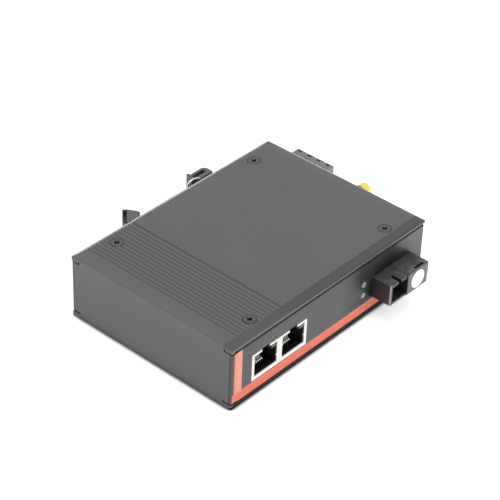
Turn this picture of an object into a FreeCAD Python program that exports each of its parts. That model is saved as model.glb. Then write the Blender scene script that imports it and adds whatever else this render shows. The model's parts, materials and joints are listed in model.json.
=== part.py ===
import FreeCAD, Part
import os, math

# ----------------------------------------------------------------------------
# Fibre media converter, lying on one of its two wide faces.
# Case frame used while building: X along the port panel from the blank end to
# the terminal end, Y from the port panel to the rail clip, Z up.  Every node is
# moved at the end so that the origin is the centre of the bottom of the whole
# bounding box.  All lengths are millimetres.
# ----------------------------------------------------------------------------

# --- case -------------------------------------------------------------------
LEN = 117.0            # case length along X
DEP = 85.0             # case depth along Y
HGT = 29.0             # case height along Z
T_COVER = 1.5          # wall of the U-shaped cover profile
R_FOLD = 0.5           # outer edge radius between a wide face and the end wall
T_CH = 1.0             # folded chassis sheet
GAP = 0.05             # gap between cover and chassis
END_INSET = 1.2        # end wall of the cover stops this far from each plate edge
SLIT_TOP, SLIT_LOW = 4.3, 4.0   # corner reliefs, from the plate edge
RIB_PITCH = 2.025      # ribbing of the two wide faces
RIB_X0 = 7.95
RIB_N1 = 12            # grooves before the wide one
RIB_WIDE_X = 32.55     # wide groove
RIB_X2 = 34.55
RIB_N2 = 39            # grooves after the wide one
RIB_Y0 = 4.8           # smooth margin along the port side
RIB_DEPTH = 0.34       # left of the wide groove
RIB_DEPTH2 = 0.13      # right of it
R_FRONT = 0.6          # rounding of the wide faces along the port side
BEV_BACK, BEV_FAR, BEV_Z = 1.0, 0.75, 0.22   # shallow machined bevels on the other two free edges
SCREW_X = (18.85, 100.85)
SCREW_Y = (8.3, 78.8)

# --- front wall --------------------------------------------------------------
PANEL_Y = 0.03         # outer face of the port panel
JACK_X = (11.55, 27.55)
JACK_W = 15.90
JACK_Z0, JACK_Z1 = 7.1, 19.75
JACK_Y0, JACK_Y1 = 0.0, 21.4
XCV_X0, XCV_XM, XCV_X1 = 84.2, 95.15, 108.4
XCV_Z0, XCV_Z1 = 7.9, 17.5
XCV_YL, XCV_YR, XCV_YB = -9.4, -9.8, 31.0
LED_X = 78.9
LED_Z = (11.1, 16.45)
LED_R = 1.4

# --- board --------------------------------------------------------------------
PCB_Z0, PCB_Z1 = 5.5, 7.1
PCB_X0, PCB_X1 = 4.2, 114.6
PCB_Y0, PCB_Y1 = 2.7, 83.0
POST_XY = ((7.8, 9.4), (111.3, 9.4), (7.8, 79.8), (111.3, 79.8))

# --- terminal end ---------------------------------------------------------------
FAR_X = LEN - 0.02     # outer face of the terminal end wall
TB_Y = 66.05           # centre of the four poles
TB_PITCH = 5.08
TB_Z = 11.2            # contact height
PLUG_X0, PLUG_X1 = 117.25, 126.9
PLUG_W = 20.0
PLUG_Z0, PLUG_Z1 = 8.6, 24.1
CLAMP_X = 121.0
GND_Y, GND_Z = 35.5, 24.45

# --- rail clip ------------------------------------------------------------------
RAIL_W = 35.0
CLIP_Z0, CLIP_Z1 = 3.5, 25.5
HOOK_X = 42.0          # rail edge on the fixed hook
FOOT_X = HOOK_X + RAIL_W + 0.2   # rail edge on the sliding foot
CLIP_Y0 = DEP          # the base lies against the back wall
CLIP_Y1 = DEP + 4.0    # face that the rail lies against
LIP_Y = CLIP_Y1 + 1.2  # rail flange is 1 mm thick
Y_CROWN = CLIP_Y1 + 7.55   # top of the fixed hook
Y_CLAW = CLIP_Y1 + 6.9     # top of the sliding claw
TRAVEL = 5.0           # of the sliding foot
WIRE_R = 0.45
WIRE_Y = CLIP_Y1 - 0.52

V = FreeCAD.Vector


def box(x0, y0, z0, x1, y1, z1):
    return Part.makeBox(x1 - x0, y1 - y0, z1 - z0, V(x0, y0, z0))


def cylz(x, y, z0, z1, r):
    return Part.makeCylinder(r, z1 - z0, V(x, y, z0), V(0, 0, 1))


def cylx(x0, x1, y, z, r):
    return Part.makeCylinder(r, x1 - x0, V(x0, y, z), V(1, 0, 0))


def cyly(x, y0, y1, z, r):
    return Part.makeCylinder(r, y1 - y0, V(x, y0, z), V(0, 1, 0))


def poly_y(pts, y0, y1):
    """Prism along Y of an XZ outline."""
    w = Part.makePolygon([V(x, y0, z) for x, z in pts] + [V(pts[0][0], y0, pts[0][1])])
    return Part.Face(w).extrude(V(0, y1 - y0, 0))


def poly_x(pts, x0, x1):
    """Prism along X of a YZ outline."""
    w = Part.makePolygon([V(x0, y, z) for y, z in pts] + [V(x0, pts[0][0], pts[0][1])])
    return Part.Face(w).extrude(V(x1 - x0, 0, 0))


def poly_z(pts, z0, z1):
    """Prism along Z of an XY outline."""
    w = Part.makePolygon([V(x, y, z0) for x, y in pts] + [V(pts[0][0], pts[0][1], z0)])
    return Part.Face(w).extrude(V(0, 0, z1 - z0))


def hexz(x, y, z0, z1, af):
    r = af / math.sqrt(3.0)
    pts = [(x + r * math.cos(math.radians(60 * i)), y + r * math.sin(math.radians(60 * i))) for i in range(6)]
    return poly_z(pts, z0, z1)


def fuse(shapes):
    s = shapes[0]
    if len(shapes) > 1:
        s = s.multiFuse(shapes[1:])
    return s.removeSplitter()


def cut(s, tools):
    return s.cut(tools) if tools else s


def pick(shape, test):
    """Edges of a shape whose centre point passes a test."""
    out = []
    for e in shape.Edges:
        c = e.CenterOfMass
        if test(e, c):
            out.append(e)
    return out


def near(a, b, tol=0.02):
    return abs(a - b) < tol


nodes = []


def node(name, shape):
    nodes.append((name, shape))


# ----------------------------------------------------------------------------
# Cover: one U-shaped profile, two ribbed wide faces and the blank end.
# ----------------------------------------------------------------------------
outer = box(0, 0, 0, LEN, DEP, HGT)
outer = outer.makeFillet(R_FOLD, pick(outer, lambda e, c: near(c.x, 0) and near(c.y, DEP / 2) and (near(c.z, 0) or near(c.z, HGT))))
bev = []
for z_out, sz, rf in ((HGT, 1, R_FRONT), (0.0, -1, R_FRONT / 2)):
    za, zb = sorted((z_out + sz, z_out - sz * rf))
    bev.append(box(-1, -1, za, LEN + 1, rf, zb).cut(cylx(-2, LEN + 2, rf, z_out - sz * rf, rf)))
    bev.append(poly_x([(DEP - BEV_BACK, z_out), (DEP - BEV_BACK, z_out + sz), (DEP + 1, z_out + sz), (DEP + 1, z_out - sz * BEV_Z), (DEP, z_out - sz * BEV_Z)], -1, LEN + 1))
    bev.append(poly_y([(LEN - BEV_FAR, z_out), (LEN - BEV_FAR, z_out + sz), (LEN + 1, z_out + sz), (LEN + 1, z_out - sz * BEV_Z), (LEN, z_out - sz * BEV_Z)], -1, DEP + 1))
outer = outer.cut(bev)
inner = box(T_COVER, -1, T_COVER, LEN + 1, DEP + 1, HGT - T_COVER)
inner = inner.makeFillet(0.3, pick(inner, lambda e, c: near(c.x, T_COVER) and near(c.y, DEP / 2) and (near(c.z, T_COVER) or near(c.z, HGT - T_COVER))))
cover = outer.cut(inner)

Z_SL_T0, Z_SL_T1, Z_HK_T = 26.45, 27.05, 27.9     # upper reliefs, each with a short upright leg
Z_SL_B0, Z_SL_B1, Z_HK_B = 2.0, 2.65, 3.1         # lower reliefs
tools = []
for side in (0, 1):
    def yy(a, b):
        return (a, b) if side == 0 else (DEP - b, DEP - a)
    for y0, y1, z0, z1 in ((-1, END_INSET, Z_SL_B0, Z_SL_T1), (-1, SLIT_TOP, Z_SL_T0, Z_SL_T1), (-1, SLIT_LOW, Z_SL_B0, Z_SL_B1),
                           (SLIT_TOP - 0.6, SLIT_TOP, Z_SL_T0, Z_HK_T), (SLIT_LOW - 0.6, SLIT_LOW, Z_SL_B0, Z_HK_B)):
        a, b = yy(y0, y1)
        tools.append(box(-1, a, z0, T_COVER + 0.04, b, z1))
    # rounded corners of the end wall beside the reliefs
    for z_edge, sz, rc in ((Z_SL_T0, -1, 0.4), (Z_SL_B1, 1, 0.6 if side == 0 else 1.7)):
        a, b = yy(END_INSET - 0.01, END_INSET + rc)
        yc = END_INSET + rc if side == 0 else DEP - END_INSET - rc
        z0, z1 = sorted((z_edge - sz * 0.01, z_edge + sz * rc))
        tools.append(box(-1, a, z0, T_COVER + 0.04, b, z1).cut(cylx(-2, T_COVER + 1, yc, z_edge + sz * rc, rc)))

rib_x = [(RIB_X0 + i * RIB_PITCH, 0.50, 0.20, RIB_DEPTH) for i in range(RIB_N1)]
rib_x.append((RIB_WIDE_X, 0.85, 0.50, 0.50))
rib_x += [(RIB_X2 + i * RIB_PITCH, 0.40, 0.15, RIB_DEPTH2) for i in range(RIB_N2)]
for xc, wt, wb, d in rib_x:
    s = (wt - wb) / d
    e = 0.2
    tools.append(poly_y([(xc - wt - s * e, HGT + e), (xc - wb, HGT - d), (xc + wb, HGT - d), (xc + wt + s * e, HGT + e)], RIB_Y0, DEP + 1))
    tools.append(poly_y([(xc - wt - s * e, -e), (xc + wt + s * e, -e), (xc + wb, d), (xc - wb, d)], RIB_Y0, DEP + 1))
cover = cut(cover, tools)
tools = []
for x in SCREW_X:
    for y in SCREW_Y:
        tools.append(Part.makeCone(1.65, 3.15, 1.5, V(x, y, HGT - 1.5), V(0, 0, 1)))
        tools.append(cylz(x, y, HGT - 3, HGT - 0.2, 1.65))
        tools.append(Part.makeCone(3.15, 1.65, 1.5, V(x, y, 0), V(0, 0, 1)))
        tools.append(cylz(x, y, 0.2, 3, 1.65))
cover = cut(cover, tools)
node("ribbed_cover", cover)

# ----------------------------------------------------------------------------
# Chassis: one sheet folded into port panel, terminal end wall and clip wall,
# with flanges that the cover is screwed to.
# ----------------------------------------------------------------------------
ZC0, ZC1 = T_COVER + GAP, HGT - T_COVER - GAP
XC0 = 0.15             # the two long walls reach past the edges of the cover's end wall
BACK_Y = DEP - 0.03
FL_X0, FL_X1 = T_COVER + 2.0, FAR_X - 1.4
FL_W = 13.0


def c_wall(y_out, sgn):
    """Front or back wall with its two flanges."""
    ya, yb = sorted((y_out, y_out + sgn * T_CH))
    fa, fb = sorted((y_out, y_out + sgn * FL_W))
    core = box(FL_X0, fa, ZC0, FL_X1, fb, ZC1)
    core = core.makeFillet(1.1, pick(core, lambda e, c: near(c.y, y_out) and (near(c.z, ZC0) or near(c.z, ZC1))))
    ia, ib = sorted((y_out + sgn * T_CH, y_out + sgn * (FL_W + 1)))
    hollow = box(FL_X0 - 1, ia, ZC0 + T_CH, FL_X1 + 1, ib, ZC1 - T_CH)
    chan = core.cut(hollow)
    strip = box(XC0, ya, ZC0 + 1.2, FAR_X, yb, ZC1 - 1.1)
    return [chan, strip]


far_wall = box(FAR_X - T_CH, PANEL_Y, ZC0 + 0.2, FAR_X, BACK_Y, ZC1 - 0.2)
ch_parts = c_wall(PANEL_Y, 1) + c_wall(BACK_Y, -1)
corner = box(FAR_X - T_CH - 0.5, PANEL_Y - 1, ZC1 - 1.1, FAR_X + 1, PANEL_Y + 1.6, ZC1 + 1)
far_wall = far_wall.cut([corner, corner.translated(V(0, 0, ZC0 + 1.2 - ZC1 - 1.0)),
                         box(FAR_X - T_CH - 0.5, BACK_Y - 1.6, ZC1 - 1.1, FAR_X + 1, BACK_Y + 1, ZC1 + 1),
                         box(FAR_X - T_CH - 0.5, BACK_Y - 1.6, ZC0 - 1, FAR_X + 1, BACK_Y + 1, ZC0 + 1.2)])
chassis = fuse(ch_parts + [far_wall])
# outer bend radii at the upright corners
for x_up, r_up in ((FAR_X, 0.85), (XC0, 0.4)):
    chassis = chassis.makeFillet(r_up, pick(chassis, lambda e, c: near(c.x, x_up) and (near(c.y, PANEL_Y) or near(c.y, BACK_Y))
                                            and abs(e.BoundBox.ZLength) > 18 and e.BoundBox.XLength < 0.01 and e.BoundBox.YLength < 0.01))
collars = []
holes = []
for x in SCREW_X:
    for y in SCREW_Y:
        collars.append(cylz(x, y, ZC1 - T_CH - 1.4, ZC1 - 0.3, 2.3))
        collars.append(cylz(x, y, ZC0 + 0.3, ZC0 + T_CH + 1.4, 2.3))
        holes.append(cylz(x, y, ZC1 - 4, ZC1 + 1, 1.52))
        holes.append(cylz(x, y, ZC0 - 1, ZC0 + 4, 1.52))
for x in (50.0, 64.0):
    collars.append(cyly(x, BACK_Y - T_CH - 1.4, BACK_Y - 0.3, HGT / 2, 2.3))
    holes.append(cyly(x, BACK_Y - 4, BACK_Y + 1, HGT / 2, 1.52))
for x, y in POST_XY:
    holes.append(cylz(x, y, ZC0 - 1, ZC0 + T_CH + 0.5, 2.1))
# openings of the port panel
holes.append(box(JACK_X[0] - 0.2, PANEL_Y - 1, JACK_Z0 - 0.35, JACK_X[1] + JACK_W + 0.2, PANEL_Y + T_CH + 0.5, JACK_Z1 + 0.4))
holes.append(box(XCV_X0 - 0.15, PANEL_Y - 1, XCV_Z0 - 0.15, XCV_X1 + 0.15, PANEL_Y + T_CH + 0.5, XCV_Z1 + 0.15))
for z in LED_Z:
    holes.append(cyly(LED_X, PANEL_Y - 1, PANEL_Y + T_CH + 1, z, LED_R + 0.15))
# openings of the terminal end
holes.append(box(FAR_X - T_CH - 0.5, TB_Y - 10.85, PCB_Z1 - 0.15, FAR_X + 1, TB_Y + 10.85, 15.55))
holes.append(cylx(FAR_X - T_CH - 0.5, FAR_X + 1, GND_Y, GND_Z, 2.45))
chassis = fuse([chassis] + collars)
chassis = cut(chassis, holes)
node("chassis", chassis)


def countersunk(x, y, z_top, up, length):
    """Countersunk cross-head screw, head flush under z_top."""
    s = 1 if up else -1
    d = V(0, 0, -s)
    head = Part.makeCone(2.9, 1.46, 1.44, V(x, y, z_top), d)
    shank = Part.makeCylinder(1.46, length - 1.44 - 0.6, V(x, y, z_top - s * 1.44), d)
    tip = Part.makeCone(1.46, 0.95, 0.6, V(x, y, z_top - s * (length - 0.6)), d)
    body = fuse([head, shank, tip])
    za, zb = sorted((z_top + s * 0.5, z_top - s * 1.25))
    c1 = box(x - 1.3, y - 0.33, za, x + 1.3, y + 0.33, zb)
    c2 = box(x - 0.33, y - 1.3, za, x + 0.33, y + 1.3, zb)
    c3 = Part.makeCone(0.95, 0.2, 1.5, V(x, y, z_top + s * 0.01), d)
    return body.cut([c1, c2, c3])


node("cover_screws_top", Part.makeCompound([countersunk(x, y, HGT - 0.12, True, 5.4) for x in SCREW_X for y in SCREW_Y]))
node("cover_screws_bottom", Part.makeCompound([countersunk(x, y, 0.12, False, 4.2) for x in SCREW_X for y in SCREW_Y]))

# ----------------------------------------------------------------------------
# Circuit board on four posts pressed into the lower flanges.
# ----------------------------------------------------------------------------
jack_cx = [x + JACK_W / 2 for x in JACK_X]
pin_y = [17.4, 19.2]


def jack_pin_xy(cx, i):
    return cx + (i - 3.5) * 1.016, pin_y[i % 2]


xcv_cx = (XCV_X0 + XCV_X1) / 2
XCV_PIN_Y = 27.0
tb_y = [TB_Y + (i - 1.5) * TB_PITCH for i in range(4)]
TB_PIN_X = 105.4
LEAD = 0.32
cap_xy = ((64.0, 70.0, 4.0, 11.5), (53.5, 70.0, 4.0, 11.5), (75.0, 58.0, 3.15, 9.0))

board = box(PCB_X0, PCB_Y0, PCB_Z0, PCB_X1, PCB_Y1, PCB_Z1)
bt = []
for x, y in POST_XY:
    bt.append(cylz(x, y, PCB_Z0 - 1, PCB_Z1 + 1, 1.65))
for cx in jack_cx:
    for i in range(8):
        px, py = jack_pin_xy(cx, i)
        bt.append(cylz(px, py, PCB_Z0 - 1, PCB_Z1 + 1, 0.42))
    for sx in (-1, 1):
        bt.append(cylz(cx + sx * 5.72, 11.0, PCB_Z0 - 1, PCB_Z1 + 1, 1.65))
        bt.append(box(cx + sx * 7.83 - 0.45, 7.6, PCB_Z0 - 1, cx + sx * 7.83 + 0.45, 8.9, PCB_Z1 + 1))
for i in range(9):
    bt.append(cylz(xcv_cx + (i - 4) * 2.54, XCV_PIN_Y, PCB_Z0 - 1, PCB_Z1 + 1, 0.45))
for sx in (-1, 1):
    bt.append(cylz(xcv_cx + sx * 10.16, 7.2, PCB_Z0 - 1, PCB_Z1 + 1, 1.0))
for y in tb_y:
    bt.append(cylz(TB_PIN_X, y, PCB_Z0 - 1, PCB_Z1 + 1, 0.85))
board = cut(board, bt)
node("main_board", board)

posts = []
bscrews = []
for x, y in POST_XY:
    p = fuse([hexz(x, y, ZC0 + T_CH, PCB_Z0, 5.5), cylz(x, y, ZC0 + 0.15, ZC0 + T_CH + 0.2, 2.05)])
    posts.append(p.cut(cylz(x, y, -1, 10, 1.52)))
    h = cylz(x, y, PCB_Z1, PCB_Z1 + 1.9, 2.75)
    h = h.makeFillet(0.7, pick(h, lambda e, c: near(c.z, PCB_Z1 + 1.9)))
    s = fuse([h, cylz(x, y, ZC0 + 0.6, PCB_Z1 + 0.2, 1.46)])
    s = s.cut([box(x - 1.5, y - 0.35, PCB_Z1 + 0.8, x + 1.5, y + 0.35, PCB_Z1 + 3),
               box(x - 0.35, y - 1.5, PCB_Z1 + 0.8, x + 0.35, y + 1.5, PCB_Z1 + 3)])
    bscrews.append(s)
node("board_posts", Part.makeCompound(posts))
node("board_screws", Part.makeCompound(bscrews))

# ----------------------------------------------------------------------------
# Two shielded eight-way jacks side by side.
# ----------------------------------------------------------------------------
T_SH = 0.25
MOUTH_W = 11.8
MOUTH_Z0, MOUTH_Z1 = 9.15, 16.5
CAV_Y1 = 14.6


def jack(x0, tag, bumps):
    x1 = x0 + JACK_W
    cx = (x0 + x1) / 2
    # shield: front frame, two sides, roof, back and two board tabs
    sh = box(x0, JACK_Y0, JACK_Z0 + 0.05, x1, JACK_Y1, JACK_Z1)
    sh = sh.makeFillet(0.25, pick(sh, lambda e, c: e.BoundBox.YLength > 10 and c.z > 15))
    sh = sh.cut(box(x0 + T_SH, JACK_Y0 + 0.35, JACK_Z0 - 1, x1 - T_SH, JACK_Y1 - T_SH, JACK_Z1 - T_SH))
    win = [box(cx - 6.5, JACK_Y0 - 1, MOUTH_Z0 - 0.25, cx + 6.5, JACK_Y0 + 1, JACK_Z1 - 1.0),
           box(cx - 2.3, JACK_Y0 - 1, JACK_Z1 - 2, cx + 2.3, JACK_Y0 + 1, JACK_Z1 + 1)]
    win.append(box(cx - 2.3, JACK_Y0 - 1, JACK_Z1 - 1, cx + 2.3, JACK_Y0 + 2.2, JACK_Z1 + 1))
    # slots around two spring fingers in each side
    for xs in (x0, x1):
        for zz in (9.2, 12.2):
            win.append(box(xs - 0.5, 1.6, zz, xs + 0.5, 7.4, zz + 0.3))
    sh = sh.cut(win)
    tabs = []
    for xs, s in ((x0, 1), (x1, -1)):
        a, b = sorted((xs, xs + s * T_SH))
        tabs.append(box(a, 7.7, PCB_Z0 - 0.9, b, 8.8, JACK_Z0 + 0.3))
    # small ears on the upright bars of the front frame
    for sx, z in bumps:
        tabs.append(cyly(cx + sx * 6.5, JACK_Y0, JACK_Y0 + 0.35, z, 0.45))
    sh = fuse([sh] + tabs)
    node("jack_shield_" + tag, sh)

    # insulating housing with the plug cavity, latch notch and light windows
    g = 0.06
    hb = box(x0 + T_SH + g, JACK_Y0 + 0.35 + g, JACK_Z0 + 0.05, x1 - T_SH - g, JACK_Y1 - T_SH - g, JACK_Z1 - T_SH - g)
    for sx in (-1, 1):
        peg = cylz(cx + sx * 5.72, 11.0, PCB_Z0 - 0.6, JACK_Z0 + 0.3, 1.58)
        hb = hb.fuse(peg)
    hc = [box(cx - MOUTH_W / 2, -1, MOUTH_Z0, cx + MOUTH_W / 2, CAV_Y1, MOUTH_Z1),
          box(cx - 3.1, -1, MOUTH_Z1 - 0.1, cx + 3.1, 13.0, MOUTH_Z1 + 1.5),
          box(cx - 1.75, -1, MOUTH_Z1 + 1.3, cx + 1.75, 12.0, JACK_Z1 - T_SH - g - 0.35),
          box(cx - 1.75, -1, MOUTH_Z1 + 1.3, cx + 1.75, 3.0, JACK_Z1 + 1)]
    # light window seats in the two upper corners
    for sx in (-1, 1):
        a, b = sorted((cx + sx * 3.45, cx + sx * 6.25))
        hc.append(box(a, -1, MOUTH_Z1 + 0.35, b, 12.0, MOUTH_Z1 + 2.35))
    # comb slots for the eight contacts and the room behind them
    for i in range(8):
        xx = cx + (i - 3.5) * 1.016
        hc.append(box(xx - 0.27, 2.0, MOUTH_Z0 - 1.15, xx + 0.27, CAV_Y1 + 5.6, MOUTH_Z0 + 0.02))
        hc.append(box(xx - 0.27, pin_y[i % 2] - 0.3, JACK_Z0 - 1, xx + 0.27, pin_y[i % 2] + 0.3, MOUTH_Z0 - 1.0))
    hb = hb.cut(hc)
    node("jack_housing_" + tag, hb)

    # eight spring contacts rising into the cavity, each with its board pin
    cs = []
    for i in range(8):
        xx = cx + (i - 3.5) * 1.016
        py = pin_y[i % 2]
        th = 0.30
        za = MOUTH_Z0 - 0.75
        pts = [(py + 0.15, PCB_Z0 - 0.7), (py + 0.15, za + th), (6.2, za + th), (5.45, za + th + 0.35),
               (9.6, 12.0), (9.45, 12.3), (4.65, za + th + 0.35), (5.5, za), (py - 0.15, za), (py - 0.15, PCB_Z0 - 0.7)]
        w = Part.makePolygon([V(xx - 0.17, y, z) for y, z in pts] + [V(xx - 0.17, pts[0][0], pts[0][1])])
        cs.append(Part.Face(w).extrude(V(0.34, 0, 0)))
    node("jack_contacts_" + tag, Part.makeCompound(cs))

    # clear windows of the link and activity lights
    ws = []
    for sx in (-1, 1):
        a, b = sorted((cx + sx * 3.55, cx + sx * 6.15))
        w = box(a, JACK_Y0 + 0.15, MOUTH_Z1 + 0.42, b, 11.8, MOUTH_Z1 + 2.25)
        ws.append(w)
    node("jack_light_windows_" + tag, Part.makeCompound(ws))


jack(JACK_X[0], "left", [(1, 12.3)])
jack(JACK_X[1], "right", [(1, 12.7), (-1, 15.05)])

# ----------------------------------------------------------------------------
# Fibre transceiver: one black housing with the fibre socket and a blank block.
# ----------------------------------------------------------------------------
SOCK_CX, SOCK_W = 90.05, 9.4
SOCK_Z0, SOCK_Z1 = 8.95, 16.35
SOCK_YB = 9.5
SOCK_CZ = (SOCK_Z0 + SOCK_Z1) / 2
left = box(XCV_X0, XCV_YL, XCV_Z0, XCV_XM, XCV_YB, XCV_Z1)
right = box(XCV_XM - 0.5, XCV_YR, XCV_Z0, XCV_X1, XCV_YB, XCV_Z1)
body = fuse([left, right])
ed = pick(body, lambda e, c: (near(c.y, XCV_YL) or near(c.y, XCV_YR)) and (near(c.x, XCV_X0) or near(c.x, XCV_X1)) and e.BoundBox.ZLength > 5)
body = body.makeChamfer(0.3, ed)
feet = [box(XCV_X0 + 0.5, 4.0, PCB_Z1, XCV_X0 + 3.5, 8.0, XCV_Z0 + 0.3),
        box(XCV_X1 - 3.5, 4.0, PCB_Z1, XCV_X1 - 0.5, 8.0, XCV_Z0 + 0.3),
        box(XCV_X0 + 0.5, XCV_YB - 3.0, PCB_Z1, XCV_X0 + 3.5, XCV_YB, XCV_Z0 + 0.3),
        box(XCV_X1 - 3.5, XCV_YB - 3.0, PCB_Z1, XCV_X1 - 0.5, XCV_YB, XCV_Z0 + 0.3)]
body = fuse([body] + feet)
xt = [box(SOCK_CX - SOCK_W / 2, XCV_YL - 1, SOCK_Z0, SOCK_CX + SOCK_W / 2, SOCK_YB, SOCK_Z1),
      # key slot through the roof of the socket
      box(SOCK_CX - 0.95, XCV_YL - 1, SOCK_Z1 - 0.1, SOCK_CX + 0.95, XCV_YL + 4.7, XCV_Z1 + 1),
      # narrow slit in the roof of the blank block
      box(100.6, XCV_YR + 0.95, XCV_Z1 - 2.2, 106.2, XCV_YR + 2.05, XCV_Z1 + 1),
      # step between the two tops
      box(XCV_XM - 0.30, XCV_YL - 2, XCV_Z1 - 0.12, XCV_XM + 0.20, 0.2, XCV_Z1 + 1),
      # relieved lower corner at the outer side
      box(XCV_X1 - 0.55, XCV_YR - 1, XCV_Z0 - 1, XCV_X1 + 1, XCV_YR + 1.6, 11.55),
      # shallow seat for the round seal on the blank face
      cyly(101.45, XCV_YR - 1, XCV_YR + 0.06, 12.7, 4.2)]
# seat of the optical barrel and of the latch arms at the back of the socket
xt.append(cyly(SOCK_CX, SOCK_YB - 0.5, SOCK_YB + 9.0, SOCK_CZ, 2.3))
for sx in (-1, 1):
    xt.append(box(SOCK_CX + sx * 3.6 - 0.55, SOCK_YB - 0.5, SOCK_CZ - 1.6, SOCK_CX + sx * 3.6 + 0.55, SOCK_YB + 3.0, SOCK_CZ + 1.6))
# pin seats
for i in range(9):
    xt.append(cylz(xcv_cx + (i - 4) * 2.54, XCV_PIN_Y, XCV_Z0 - 1, XCV_Z0 + 3.0, 0.34))
body = body.cut(xt)
studs = [cylz(xcv_cx + sx * 10.16, 7.2, PCB_Z0 - 1.0, PCB_Z1 + 0.6, 0.92) for sx in (-1, 1)]
body = fuse([body] + studs)
node("transceiver_housing", body)

# optical barrel: tube around the ferrule bore, with its flange in the housing
barrel = fuse([cyly(SOCK_CX, 1.2, SOCK_YB + 8.9, SOCK_CZ, 2.26)])
barrel = barrel.cut([cyly(SOCK_CX, 0.0, SOCK_YB + 2.0, SOCK_CZ, 1.62)])
node("optical_barrel", barrel)
sleeve = cyly(SOCK_CX, 1.6, SOCK_YB + 1.9, SOCK_CZ, 1.58).cut([cyly(SOCK_CX, 0.0, SOCK_YB + 1.0, SOCK_CZ, 1.26)])
node("ceramic_sleeve", sleeve)
arms = []
for sx in (-1, 1):
    xo = SOCK_CX + sx * 3.6
    pts = [(xo - 0.45, SOCK_YB + 2.8), (xo - 0.45, 1.8), (xo - 0.45 - (0.7 if sx > 0 else 0), 0.9),
           (xo - 0.45 - (0.7 if sx > 0 else 0), 0.3), (xo + 0.45 + (0.7 if sx < 0 else 0), 0.3),
           (xo + 0.45 + (0.7 if sx < 0 else 0), 0.9), (xo + 0.45, 1.8), (xo + 0.45, SOCK_YB + 2.8)]
    arms.append(poly_z(pts, SOCK_CZ - 1.5, SOCK_CZ + 1.5))
node("latch_arms", Part.makeCompound(arms))
pins = [cylz(xcv_cx + (i - 4) * 2.54, XCV_PIN_Y, PCB_Z0 - 1.2, XCV_Z0 + 2.9, 0.32) for i in range(9)]
node("transceiver_pins", Part.makeCompound(pins))
seal = cyly(101.45, XCV_YR - 0.10, XCV_YR + 0.06, 12.7, 4.1)
node("round_seal", seal)

# ----------------------------------------------------------------------------
# Two indicator lamps stacked in a right-angle holder.
# ----------------------------------------------------------------------------
hold = box(LED_X - 2.2, 2.4, PCB_Z1, LED_X + 2.2, 9.0, 19.2)
hold = hold.cut([cyly(LED_X, 2.0, 7.0, z, LED_R + 0.06) for z in LED_Z])
node("lamp_holder", hold)
for nm, z in (("lamp_lower", LED_Z[0]), ("lamp_upper", LED_Z[1])):
    s = cyly(LED_X, PANEL_Y - 0.1, 6.9, z, LED_R)
    s = s.makeFillet(0.45, pick(s, lambda e, c: near(c.y, PANEL_Y - 0.1)))
    node(nm, s)

# ----------------------------------------------------------------------------
# Four-way terminal: board header, and the plug with its clamps and screws.
# ----------------------------------------------------------------------------
HD_X0 = 104.0
HD_Y = 10.7
hd = box(HD_X0, TB_Y - HD_Y, PCB_Z1, FAR_X, TB_Y + HD_Y, 15.4)
ht = [box(HD_X0 + 3.2, TB_Y - HD_Y + 0.8, PCB_Z1 + 0.9, FAR_X + 1, TB_Y + HD_Y - 0.8, 14.6)]
for y in tb_y:
    ht.append(box(HD_X0 + 0.6, y - 0.55, PCB_Z1 - 1, HD_X0 + 2.1, y + 0.55, TB_Z + 0.55))
    ht.append(box(HD_X0 + 2.0, y - 0.55, TB_Z - 0.55, HD_X0 + 3.4, y + 0.55, TB_Z + 0.55))
    # keyways for the plug nose in the roof
    ht.append(box(HD_X0 + 6.0, y - 0.9, 14.5, FAR_X + 1, y + 0.9, 15.1))
hd = hd.cut(ht)
node("terminal_header", hd)
hp = []
for y in tb_y:
    a = box(TB_PIN_X - 0.5, y - 0.5, PCB_Z0 - 1.4, TB_PIN_X + 0.5, y + 0.5, TB_Z + 0.5)
    b = box(TB_PIN_X - 0.5, y - 0.5, TB_Z - 0.5, 114.6, y + 0.5, TB_Z + 0.5)
    p = fuse([a, b])
    p = p.makeChamfer(0.25, pick(p, lambda e, c: near(c.x, 114.6)))
    hp.append(p)
node("header_pins", Part.makeCompound(hp))

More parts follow.
